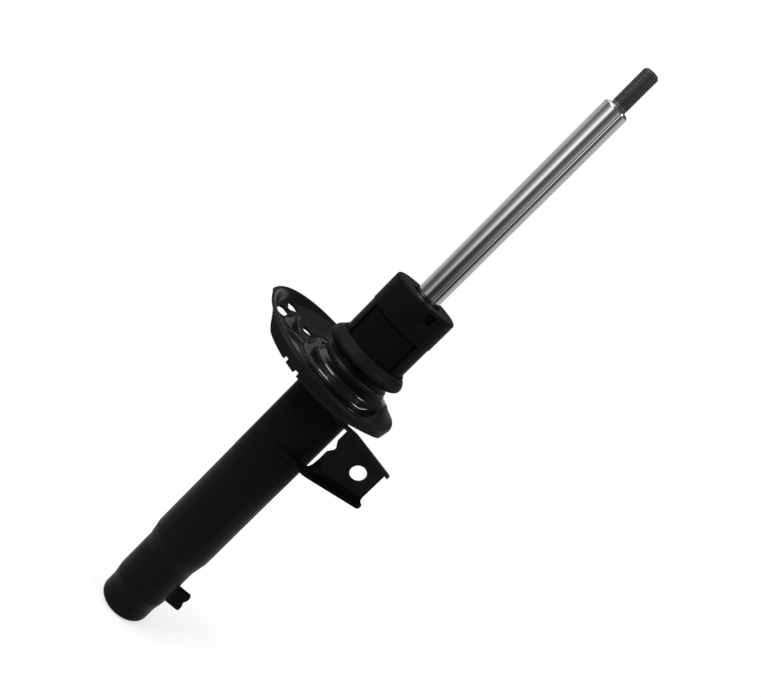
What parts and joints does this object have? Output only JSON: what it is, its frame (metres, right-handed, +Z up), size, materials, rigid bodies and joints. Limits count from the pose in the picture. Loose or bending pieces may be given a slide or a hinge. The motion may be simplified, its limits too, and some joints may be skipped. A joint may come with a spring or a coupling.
{
  "type": "strut assembly",
  "caption": "Twin-tube suspension strut with a pressed spring seat, a bracket for the stabiliser link, a plastic bump cap and a chromed piston rod with a threaded stud.",
  "frame": {"origin": "centre of the tube's closed bottom", "axes": "+Z up the piston rod, +X along the link bracket and the locating tab, +Y away from the bracket's open side"},
  "size_m": [0.1668, 0.1458, 0.6084],
  "materials": {
    "tube_paint": "satin black stoved paint",
    "seat_paint": "semi-gloss black electrocoat",
    "bracket_paint": "satin black electrocoat",
    "cap_plastic": "matt black moulded plastic",
    "rod_chrome": "ground and hard-chromed",
    "bare_steel": "bright steel",
    "spring_steel": "blued spring steel",
    "sintered_iron": "sintered iron",
    "bearing_bronze": "bronze-backed bearing lining",
    "ring_polymer": "filled low-friction polymer",
    "seal_rubber": "nitrile rubber",
    "bumper_rubber": "polyurethane"
  },
  "bodies": {
    "barrel": {"outer_tube": "tube_paint", "base_cup": "tube_paint", "base_valve_body": "sintered_iron", "base_valve_discs": "spring_steel", "base_check_spring": "spring_steel", "base_valve_pin": "bare_steel", "pressure_tube": "bare_steel", "rod_guide": "sintered_iron", "guide_bush": "bearing_bronze", "rod_seal": "seal_rubber", "seal_spring": "spring_steel", "retaining_plate": "bare_steel", "bump_cap": "cap_plastic", "boot_ring": "seat_paint", "seat_collar": "seat_paint", "spring_seat": "seat_paint", "seat_weld": "tube_paint", "link_bracket": "bracket_paint", "bracket_weld": "tube_paint", "locating_tab": "tube_paint", "tab_weld": "tube_paint"},
    "piston_ring_body": {"piston_ring": "ring_polymer"},
    "rod": {"piston_rod": "rod_chrome", "rebound_stop": "bare_steel", "rebound_bumper": "bumper_rubber", "piston": "sintered_iron", "piston_discs": "spring_steel", "piston_nut": "bare_steel", "piston_check_guide": "bare_steel", "piston_check_spring": "spring_steel"},
    "base_check": {"base_check_plate": "spring_steel"},
    "piston_check": {"piston_check_plate": "spring_steel"}
  },
  "joints": [
    {"name": "rod_slide", "type": "slide", "parent": "barrel", "child": "piston_ring_body", "axis": [0, 0, 1], "range_m": [-0.165, 0], "stiffness_N_per_m": 300, "springref_m": 0.4},
    {"name": "rod_turn", "type": "hinge", "parent": "piston_ring_body", "child": "rod", "pos_m": [0, 0, 0.2526], "axis": [0, 0, 1], "continuous": true},
    {"name": "base_check_lift", "type": "slide", "parent": "barrel", "child": "base_check", "axis": [0, 0, 1], "range_m": [0, 0.001], "stiffness_N_per_m": 400, "springref_m": -0.001, "deforming": ["base_check_spring"]},
    {"name": "piston_check_lift", "type": "slide", "parent": "rod", "child": "piston_check", "axis": [0, 0, 1], "range_m": [0, 0.001], "stiffness_N_per_m": 400, "springref_m": -0.001, "deforming": ["piston_check_spring"]}
  ]
}
